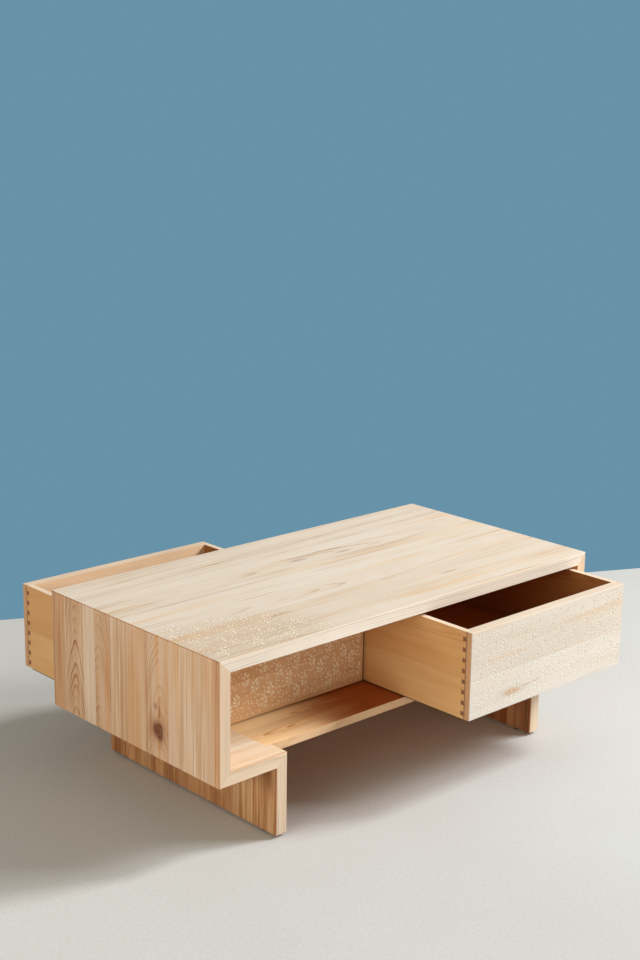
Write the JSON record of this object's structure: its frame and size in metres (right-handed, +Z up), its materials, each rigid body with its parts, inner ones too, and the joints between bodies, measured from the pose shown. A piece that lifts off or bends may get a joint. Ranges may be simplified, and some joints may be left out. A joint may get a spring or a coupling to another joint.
{
  "type": "storage coffee table",
  "caption": "Low wooden coffee table: a mitred ribbon of thick boards forms top, ends and legs around a shelf and drawers that slide right through, with carved fronts at both faces.",
  "frame": {"origin": "on the floor under the middle of the table with its drawers as stored, partly drawn out", "axes": "+Z up, +X along the length to the right, -Y out of the front"},
  "size_m": [1.22, 0.97, 0.457],
  "materials": {
    "carcass_wood": "clear matt oil, pale ash-like boards glued up from staves",
    "shelf_wood": "clear matt oil",
    "drawer_front_wood": "clear matt oil, carved",
    "drawer_side_wood": "clear satin lacquer",
    "drawer_bottom_wood": "clear satin lacquer",
    "joint_hardwood": "planed, unfinished",
    "slip_plastic": "waxy, dark brown",
    "glide_plastic": "black, moulded",
    "bumper_rubber": "soft, dark",
    "screw_steel": "zinc plated"
  },
  "bodies": {
    "table_frame": {"table_top": "carcass_wood", "centre_shelf": "shelf_wood", "shelf_dowels": "joint_hardwood", "guide_block_screws": "screw_steel", "glide_screws": "screw_steel", "left_end_panel": "carcass_wood", "left_bottom_board": "carcass_wood", "left_leg_board": "carcass_wood", "left_top_spline": "joint_hardwood", "left_lower_spline": "joint_hardwood", "left_leg_spline": "joint_hardwood", "left_guide_block": "joint_hardwood", "left_block_bumpers": "bumper_rubber", "front_left_glide": "glide_plastic", "back_left_glide": "glide_plastic", "right_end_panel": "carcass_wood", "right_bottom_board": "carcass_wood", "right_leg_board": "carcass_wood", "right_top_spline": "joint_hardwood", "right_lower_spline": "joint_hardwood", "right_leg_spline": "joint_hardwood", "right_guide_block": "joint_hardwood", "right_block_bumpers": "bumper_rubber", "front_right_glide": "glide_plastic", "back_right_glide": "glide_plastic"},
    "left_drawer": {"left_drawer_front": "drawer_front_wood", "left_drawer_back": "drawer_front_wood", "left_drawer_left_side": "drawer_side_wood", "left_drawer_right_side": "drawer_side_wood", "left_drawer_bottom": "drawer_bottom_wood", "left_drawer_left_rail": "joint_hardwood", "left_drawer_right_rail": "joint_hardwood", "left_drawer_rail_screws": "screw_steel", "left_drawer_left_slip_strip": "slip_plastic", "left_drawer_right_slip_strip": "slip_plastic"},
    "right_drawer": {"right_drawer_front": "drawer_front_wood", "right_drawer_back": "drawer_front_wood", "right_drawer_left_side": "drawer_side_wood", "right_drawer_right_side": "drawer_side_wood", "right_drawer_bottom": "drawer_bottom_wood", "right_drawer_left_rail": "joint_hardwood", "right_drawer_right_rail": "joint_hardwood", "right_drawer_rail_screws": "screw_steel", "right_drawer_left_slip_strip": "slip_plastic", "right_drawer_right_slip_strip": "slip_plastic"}
  },
  "joints": [
    {"name": "right_drawer_slide", "type": "slide", "parent": "table_frame", "child": "right_drawer", "axis": [0, -1, 0], "range_m": [-0.3595, 0.0495]},
    {"name": "left_drawer_slide", "type": "slide", "parent": "table_frame", "child": "left_drawer", "axis": [0, 1, 0], "range_m": [-0.3945, 0.0145]}
  ]
}
